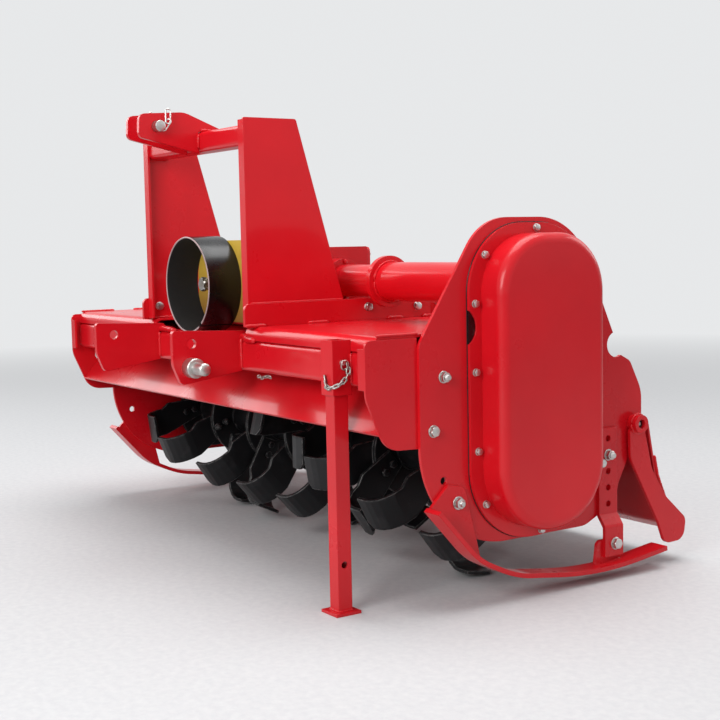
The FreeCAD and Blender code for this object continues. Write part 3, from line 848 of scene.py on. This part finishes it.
@dataclass(frozen=True)
class RotorWork:
    """Bolts and nuts of the blades, and the welds of the rotor's flanges."""

    axis_z: float = 245.0
    tube_r: float = 45.0
    flange_half: float = 5.0
    blade_t: float = 8.0
    spread: float = 716.0
    per_side: int = 3
    holes: tuple[tuple[float, float], ...] = ((16.0, 71.0), (14.0, 99.0))
    sets: tuple[tuple[float | None, float | None], ...] = (
        (None, 8.0), (22.0, 81.0), (34.0, 65.0), (41.0, -14.0), (42.0, 0.0), (10.0, 35.0), (27.0, 81.0), (38.0, None),
    )

    def spot(self, x: float, y: float, z: float, angle: float) -> Vector:
        """Point of a blade drawn at the rotor's top, once it is turned into place."""
        turn = math.radians(90.0 + angle)
        return Vector((x, y * math.cos(turn) - z * math.sin(turn), self.axis_z + y * math.sin(turn) + z * math.cos(turn)))

    def alone(self, own: float, other: float | None) -> bool:
        """True where no blade of the flange's other side covers the bolts."""
        if other is None:
            return True
        gap = (own - other) % (360.0 / self.per_side)
        return min(gap, 360.0 / self.per_side - gap) > 48.0

    def build(self, finishes: "Finishes", beads: Beads, chance: random.Random) -> None:
        """Make the two pieces.

        Args:
            finishes: Finishes to use.
            beads: Bead layer.
            chance: Source of the hexagons' turns.
        """
        head = Fastener(17.0, 7.2, 0.0)
        nut = Fastener(17.0, 9.0, 10.0, 2.0, 5.0, 3.0)
        bolts = Form()
        welds = Form()
        for i, pair in enumerate(self.sets):
            x = self.spread * (2 * i / (len(self.sets) - 1) - 1)
            for side, own, other in ((-1.0, pair[0], pair[1]), (1.0, pair[1], pair[0])):
                start = chance.uniform(0, 60)
                ring = ring_points(Vector((x + side * (self.flange_half + 1), 0, self.axis_z)), AXIS_X, self.tube_r + 1.5,
                                   start, start + 352, 12)
                beads.run(welds, ring, 4.0)
                if own is None:
                    continue
                face = x + side * (self.flange_half + self.blade_t)
                for k in range(self.per_side):
                    angle = own + k * 360.0 / self.per_side
                    for y, z in self.holes:
                        head.draw(bolts, self.spot(face, y, z, angle), AXIS_X * side, chance.uniform(0, math.tau))
                        if self.alone(own, other):
                            back = self.spot(x - side * self.flange_half, y, z, angle)
                            nut.draw(bolts, back, -AXIS_X * side, chance.uniform(0, math.tau))
        bolts.piece("blade_bolts", Slot.BLACK, Body.ROTOR, finishes, 30.0)
        welds.piece("rotor_welds", Slot.BLACK, Body.ROTOR, finishes, 80.0)


@dataclass(frozen=True)
class SmallWork:
    """Pins, chains, dark strips and patches of painted shade, and other small pieces, each fitted to the part that
    carries it.
    """

    finishes: "Finishes"
    chance: random.Random

    def chain(self, form: Form, points: list[Vector], length: float, wire: float) -> None:
        """Hang links along a line, each turned square to the last.

        Args:
            form: Mesh to add to.
            points: Middles of the links.
            length: Outer length of a link.
            wire: Wire diameter.
        """
        for i, point in enumerate(points):
            ahead = points[min(i + 1, len(points) - 1)]
            behind = points[max(i - 1, 0)]
            along = (ahead - behind).normalized()
            first, second = square_to(along)
            turn = math.radians(45.0 + 90.0 * (i % 2) + self.chance.uniform(-18.0, 18.0))
            across = first * math.cos(turn) + second * math.sin(turn)
            form.link(point, along, across, length, length * 0.62, wire)

    def top_pin(self) -> None:
        """Linch rings and links at the two ends of the top-link pin."""
        for label, sign in (("near", 1.0), ("far", -1.0)):
            form = Form()
            form.turned(Vector((55.0 * sign, -510, 1013)), AXIS_X * sign,
                        [(0, 12.6), (1.4, 12.6), (2.6, 11.8), (3.2, 10.2), (3.4, 4.0)], 28)
            form.piece(f"top_pin_nose_{label}", Slot.STEEL, Body.FRAME, self.finishes, 30.0)
            wire = Form()
            tilt = Vector((0.0, 0.58, 0.81)).normalized()
            wide = Vector((0.52 * sign, 0.69, -0.50)).normalized()
            wire.link(Vector((48.0 * sign, -492, 1016)), tilt, wide, 34.0, 15.0, 3.6)
            lean = Vector((-0.06 * sign, 0.07, 1.0)).normalized()
            flat = Vector((0.16 * sign, 0.99, -0.06)).normalized()
            wire.link(Vector((48.0 * sign, -487, 1036)), lean, flat, 38.0, 15.0, 3.6)
            wire.piece(f"top_pin_clip_{label}", Slot.STEEL, Body.FRAME, self.finishes, 60.0)

    def low_pins(self) -> None:
        """Rounded noses and collar edges of the lower hitch pins."""
        for label, sign in (("near", 1.0), ("far", -1.0)):
            form = Form()
            out = AXIS_X * sign
            form.turned(Vector((288.0 * sign, -535, 472)), out,
                        [(0, 13.9), (1.2, 13.9), (3.2, 12.6), (4.6, 10.0), (5.2, 5.0), (5.3, 1.5)], 32)
            form.turned(Vector((246.4 * sign, -535, 472)), out, [(0, 21.9), (0.8, 21.8), (2.2, 20.6), (2.8, 18.0)], 36)
            form.piece(f"low_pin_nose_{label}", Slot.STEEL, Body.FRAME, self.finishes, 30.0)

    def stand_lock(self) -> None:
        """Pin through the sleeve and leg, its clip and the chain that keeps it."""
        pin = Form()
        pin.turned(Vector((612, -428.5, 505)), AXIS_X, [(0, 7.5), (1, 9.5), (7, 9.5), (8, 8.0), (8.2, 5.4), (16, 5.4)], 20)
        pin.turned(Vector((662, -428.5, 505)), AXIS_X, [(0, 5.4), (11, 5.4), (12.5, 4.4)], 20)
        hoop = [Vector((670 + 2.5 * math.sin(a), -424.0 + 8.0 * math.cos(a), 500 + 9.0 * math.sin(a)))
                for a in (math.tau * i / 28 for i in range(28))]
        pin.swept(hoop, [1.7] * len(hoop), 8, closed=True)
        pin.piece("stand_lock_pin", Slot.STEEL, Body.FRAME, self.finishes, 40.0)
        stops = [(671, -419, 498), (672, -417, 488), (673, -421, 478), (673, -428, 470), (672, -436, 464), (670, -445, 460),
                 (664, -453, 457), (655, -455, 457), (648, -455, 463), (644, -454, 473)]
        form = Form()
        self.chain(form, [Vector(stop) for stop in stops], 18.0, 3.7)
        form.piece("stand_chain", Slot.BARE_STEEL, Body.FRAME, self.finishes, 60.0)
        under = [(298 + 9.0 * i, -408 - 1.5 * math.sin(i), 449 - 2.2 * math.sin(i * 1.1)) for i in range(6)]
        spare = Form()
        self.chain(spare, [Vector(stop) for stop in under], 15.0, 2.8)
        spare.piece("link_pin_chain", Slot.BARE_STEEL, Body.FRAME, self.finishes, 60.0)

    def case_trim(self) -> None:
        """Dark strip round the gear-case flange for the shadow in its gap to the side plate, and a dark patch in its
        notch for the shade of a recess: both painted shade.
        """
        line = []
        for middle_y, middle_z, radius, first, last in (
            (0, 631, 142.6, 0, 90), (-46, 631, 142.6, 90, 180), (-30, 277, 158.6, 180, 270), (-16, 277, 158.6, 270, 360)):
            for i in range(17):
                angle = math.radians(first + (last - first) * i / 16)
                line.append(Vector((758.7, middle_y + radius * math.cos(angle), middle_z + radius * math.sin(angle))))
        # Black strip along the flange's outline: painted shade of the gap between flange and side plate.
        shadow_strip = Form()
        shadow_strip.swept(line, [1.1] * len(line), 8, closed=True)
        shadow_strip.piece("case_shadow_gap_strip", Slot.BLACK_GUARD, Body.FRAME, self.finishes, 60.0)
        outline = [(-188.0, 565.0 - 33.9)]
        for i in range(13):
            angle = math.asin(33.9 / 41.0) * (2 * i / 12 - 1)
            outline.append((-211.0 + 40.6 * math.cos(angle), 565.0 + 40.6 * math.sin(angle)))
        outline.append((-188.0, 565.0 + 33.9))
        # Black patch in the notch: painted shade of a recess.
        plug = Form()
        plug.slab(outline, 757.8, 763.4, 1.6)
        plug.piece("case_notch_shade_patch", Slot.BLACK_GUARD, Body.FRAME, self.finishes, 30.0)

    def guard_trim(self) -> None:
        """Pale pinkish line along the rolled guard's front rim: a painted highlight and a painted reflection of the red
        paint.
        """
        form = Form()
        line = ring_points(Vector((0, -428.3, 647)), AXIS_Y, 112.0, 0, 360, 6)
        near = [p for p in line if not (58.0 < p.x < 67.0 and p.z < 600.0)]
        start = min(range(len(near)), key=lambda i: (near[i] - Vector((67.5, -428.3, 557.0))).length)
        near = near[start:] + near[:start]
        if (near[1] - near[0]).length > 10.0:
            near = [near[0]] + near[:0:-1]
        form.swept(near, [1.9] * len(near), 8)
        edge = form.piece("guard_edge", Slot.BLACK_GUARD, Body.FRAME, self.finishes, 60.0)
        # The rim line takes the pale colour of a painted highlight and painted red reflection.
        edge.material_slots[0].material = self.finishes.painted_rim_highlight

    def shaft(self) -> None:
        """Splined end of the input shaft, with its groove, over a plain collar."""
        form = Form()
        sides = 72
        rings = []
        for y, outer, root in (
            (-392.0, 14.6, 14.2), (-390.6, 16.4, 14.5), (-389.0, 17.4, 14.6), (-380.0, 17.4, 14.6), (-379.0, 15.2, 14.6),
            (-377.5, 14.7, 14.6), (-372.0, 14.7, 14.6), (-370.5, 15.2, 14.6), (-369.5, 17.4, 14.6), (-308.0, 17.4, 14.6),
            (-300.0, 17.4, 17.4), (-236.0, 17.4, 17.4)):
            ring = []
            for i in range(sides):
                step = i % 12
                reach = outer if step < 5 else root
                if step in (5, 11):
                    reach = (outer + root) / 2 if step == 5 else root
                angle = math.tau * i / sides
                ring.append(Vector((reach * math.sin(angle), y, 647 + reach * math.cos(angle))))
            rings.append(ring)
        form.skin(rings)
        form.turned(Vector((0, -235, 647)), AXIS_Y, [(0, 22.5), (2.0, 25.3), (48.0, 25.4), (50.0, 24.0)], 40)
        made = form.piece("splined_shaft", Slot.BARE_STEEL, Body.INPUT, self.finishes, 28.0)
        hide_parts("input_shaft")

    def gearbox_trim(self) -> None:
        """Rear cover, filler plug and breather of the gearbox."""
        cover = Form()
        corners = []
        for y, z, first in ((70, 717, 0), (-70, 717, 90), (-70, 581, 180), (70, 581, 270)):
            for i in range(6):
                angle = math.radians(first + 90 * i / 5)
                corners.append((y + 11 * math.cos(angle), z + 11 * math.sin(angle)))
        rings = []
        for y, inset in ((35.0, 0.0), (43.0, 0.0), (44.4, 0.6), (45.0, 2.0)):
            rings.append([Vector((x * (1 - inset / 80), y, 649 + (z - 649) * (1 - inset / 80))) for x, z in corners])
        cover.skin(rings)
        cover.turned(Vector((0, 44.6, 649)), AXIS_Y, [(0, 44), (2.5, 42), (4.5, 36), (5.0, 10)], 40)
        cover.piece("gearbox_rear_cover", Slot.CAST_RED, Body.FRAME, self.finishes, 30.0)
        plug = Form()
        Fastener(22.0, 9.0, 15.0, 2.5).draw(plug, Vector((34, -88, 729)), AXIS_Z, 0.4)
        plug.turned(Vector((-52, -96, 729)), AXIS_Z, [(0, 11), (5, 11), (6, 8), (12, 8), (13, 12), (22, 12), (25, 9), (26, 3)],
                    24)
        plug.piece("gearbox_plugs", Slot.STEEL, Body.FRAME, self.finishes, 30.0)

    def foot_tails(self) -> None:
        """Rear ends of the headstock's long feet, over the bend of the hood."""
        for label, sign in (("near", 1.0), ("far", -1.0)):
            outline = [(88.0, 557.5), (128.0, 556.0)]
            for i in range(7):
                angle = math.radians(90.0 * i / 6)
                outline.append((112.0 + 16.0 * math.cos(angle), 592.0 + 16.0 * math.sin(angle)))
            outline.append((88.0, 608.0))
            form = Form()
            form.slab(outline, 262.0 * sign, 271.0 * sign, 1.0)
            form.piece(f"foot_tail_{label}", Slot.RED, Body.FRAME, self.finishes, 30.0)

    def hinge_trim(self) -> None:
        """Dark discs on the rear board's hinge bosses, painted shade for the inside of their bores, with grey pin ends;
        the tube's end cap; and the far bearing's cap and nipple.
        """
        for label, sign in (("near", 1.0), ("far", -1.0)):
            # The black disc stands for the shade inside the boss's bore: painted shade.
            form = Form()
            out = AXIS_X * sign
            form.turned(Vector((773.4 * sign, 278, 328)), out, [(0, 9.8), (1.0, 9.8), (2.2, 8.8), (2.6, 3.0)], 24)
            form.piece(f"hinge_pin_nose_{label}", Slot.BLACK, Body.FRAME, self.finishes, 30.0)
            core = Form()
            core.turned(Vector((775.6 * sign, 278, 328)), out, [(0, 4.6), (1.0, 4.6), (1.8, 3.6), (2.0, 1.0)], 20)
            core.piece(f"hinge_pin_core_{label}", Slot.BARE_STEEL, Body.FRAME, self.finishes, 30.0)
        end = Form()
        end.turned(Vector((-608, -65, 647)), -AXIS_X, [(-3, 45.2), (0, 45.2), (1.5, 44.2), (3, 40), (4.6, 26), (5, 4)], 48)
        end.piece("tube_end_cap", Slot.RED, Body.FRAME, self.finishes, 30.0)
        cap = Form()
        cap.turned(Vector((-804, 0, 245)), -AXIS_X, [(-6, 40), (0, 40), (1.6, 38.6), (2.0, 12), (1.0, 10.5), (1.0, 2)], 40)
        cap.turned(Vector((-785, 0, 296)), AXIS_Z, [(0, 5), (3, 5), (3.4, 3.4), (7, 3.2), (8, 4.2), (10.5, 3.4), (12, 1.2)], 18)
        cap.piece("bearing_cap", Slot.CAST_RED, Body.FRAME, self.finishes, 30.0)

    def build(self) -> None:
        """Make every small piece."""
        self.top_pin()
        self.low_pins()
        self.stand_lock()
        self.case_trim()
        self.guard_trim()
        self.shaft()
        self.gearbox_trim()
        self.foot_tails()
        self.hinge_trim()


@dataclass
class Studio:
    """Pale floor, plain soft lamps and the camera at the photograph's angle."""

    yaw: float = 56.2
    pitch: float = 5.2
    roll: float = -1.2
    eye: tuple[float, float, float] = (2774.0, -1796.3, 738.1)
    focal_px: float = 1288.6
    frame_px: float = 720.0
    sensor: float = 36.0
    floor_half: float = 30.0
    backdrop: tuple[float, float, float] = (0.80, 0.81, 0.82)

    def camera(self) -> None:
        """Place the camera."""
        yaw, pitch, roll = (math.radians(a) for a in (self.yaw, self.pitch, self.roll))
        ahead = Vector((-math.sin(yaw) * math.cos(pitch), math.cos(yaw) * math.cos(pitch), -math.sin(pitch)))
        right = Vector((math.cos(yaw), math.sin(yaw), 0.0))
        up = right.cross(ahead)
        side = right * math.cos(roll) + up * math.sin(roll)
        top = -right * math.sin(roll) + up * math.cos(roll)
        data = bpy.data.cameras.new("photo_camera")
        data.sensor_width = self.sensor
        data.lens = self.focal_px / self.frame_px * self.sensor
        data.clip_end = 60.0
        eye = bpy.data.objects.new("photo_camera", data)
        turn = Matrix((side, top, -ahead)).transposed()
        eye.matrix_world = Matrix.Translation(at(*self.eye)) @ turn.to_4x4()
        bpy.context.collection.objects.link(eye)
        bpy.context.scene.camera = eye

    def floor(self) -> None:
        """Lay the floor."""
        mesh = bpy.data.meshes.new("floor")
        h = self.floor_half
        mesh.from_pydata([(-h, -h, 0), (h, -h, 0), (h, h, 0), (-h, h, 0)], [], [(0, 1, 2, 3)])
        slab = bpy.data.objects.new("floor", mesh)
        bpy.context.collection.objects.link(slab)
        sheet = NodeSheet("pale_floor")
        grain = sheet.noise(60.0, 4.0, 0.6)
        tone = sheet.band(grain, "Fac", 0.3, 0.7)
        sheet.colour(sheet.blend(tone, "Result", (0.53, 0.53, 0.54), (0.59, 0.59, 0.59)))
        sheet.surface.inputs["Roughness"].default_value = 0.8
        reach = sheet.node("ShaderNodeVectorMath", operation="LENGTH")
        sheet.join(sheet.coords, "Object", reach, 0)
        away = sheet.band(reach, "Value", 2.2, 7.0)
        path = sheet.node("ShaderNodeLightPath")
        fade = sheet.node("ShaderNodeMath", operation="MULTIPLY")
        sheet.join(away, "Result", fade, 0)
        sheet.join(path, "Is Camera Ray", fade, 1)
        glow = sheet.node("ShaderNodeEmission", in_Color=(*self.backdrop, 1.0), in_Strength=1.0)
        mixed = sheet.node("ShaderNodeMixShader")
        sheet.join(fade, "Value", mixed, "Fac")
        sheet.join(sheet.surface, "BSDF", mixed, 1)
        sheet.join(glow, "Emission", mixed, 2)
        sheet.join(mixed, "Shader", sheet.out, "Surface")
        mesh.materials.append(sheet.material)

    def world(self) -> None:
        """Plain pale surroundings at an even low strength, shown as the pale backdrop to camera, glossy and
        transmission rays.
        """
        world = bpy.data.worlds.new("studio")
        bpy.context.scene.world = world
        world.use_nodes = True
        tree = world.node_tree
        tree.nodes.clear()
        out = tree.nodes.new("ShaderNodeOutputWorld")
        lit = tree.nodes.new("ShaderNodeBackground")
        seen = tree.nodes.new("ShaderNodeBackground")
        lit.inputs["Color"].default_value = (0.93, 0.96, 1.0, 1.0)
        lit.inputs["Strength"].default_value = 0.42
        seen.inputs["Color"].default_value = (*self.backdrop, 1.0)
        seen.inputs["Strength"].default_value = 1.0
        path = tree.nodes.new("ShaderNodeLightPath")
        mix = tree.nodes.new("ShaderNodeMixShader")
        shown = path.outputs["Is Camera Ray"]
        for ray in ("Is Glossy Ray", "Is Transmission Ray"):
            either = tree.nodes.new("ShaderNodeMath")
            either.operation = "MAXIMUM"
            tree.links.new(shown, either.inputs[0])
            tree.links.new(path.outputs[ray], either.inputs[1])
            shown = either.outputs[0]
        tree.links.new(shown, mix.inputs["Fac"])
        tree.links.new(lit.outputs[0], mix.inputs[1])
        tree.links.new(seen.outputs[0], mix.inputs[2])
        tree.links.new(mix.outputs[0], out.inputs["Surface"])

    def lamp(self, name: str, place: tuple[float, float, float], size: float, power: float) -> None:
        """Hang one soft lamp that faces the machine.

        Args:
            name: Name of the lamp.
            place: Its place in metres.
            size: Side of the square lamp in metres.
            power: Watts.
        """
        data = bpy.data.lights.new(name, "AREA")
        data.shape = "SQUARE"
        data.size = size
        data.energy = power
        lamp = bpy.data.objects.new(name, data)
        spot = Vector(place)
        lamp.matrix_world = Matrix.Translation(spot) @ (Vector((0, 0, 0.45)) - spot).to_track_quat("-Z", "Y").to_matrix().to_4x4()
        bpy.context.collection.objects.link(lamp)

    def build(self) -> None:
        """Set up the whole studio."""
        self.camera()
        self.floor()
        self.world()
        self.lamp("overhead_lamp", (0.3, 0.2, 4.2), 3.4, 155.0)
        self.lamp("front_lamp", (2.2, -4.3, 2.4), 2.4, 152.0)
        self.lamp("far_lamp", (-3.8, -1.4, 2.2), 2.0, 45.0)
        self.lamp("rear_lamp", (1.5, 4.4, 2.6), 2.4, 50.0)
        scene = bpy.context.scene
        scene.view_settings.view_transform = "Standard"


def main() -> None:
    """Load the frame, dress it and report each piece."""
    logging.basicConfig(level=logging.INFO, format="%(name)s: %(message)s")
    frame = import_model()
    finishes = Finishes()
    finishes.dress_nodes(frame)
    chance = random.Random(7)
    beads = Beads(finishes, chance)
    beads.build()
    for row in BOLT_ROWS:
        row.build(finishes, chance)
    RotorWork().build(finishes, beads, chance)
    SmallWork(finishes, chance).build()
    Studio().build()


if __name__ == "__main__":
    main()
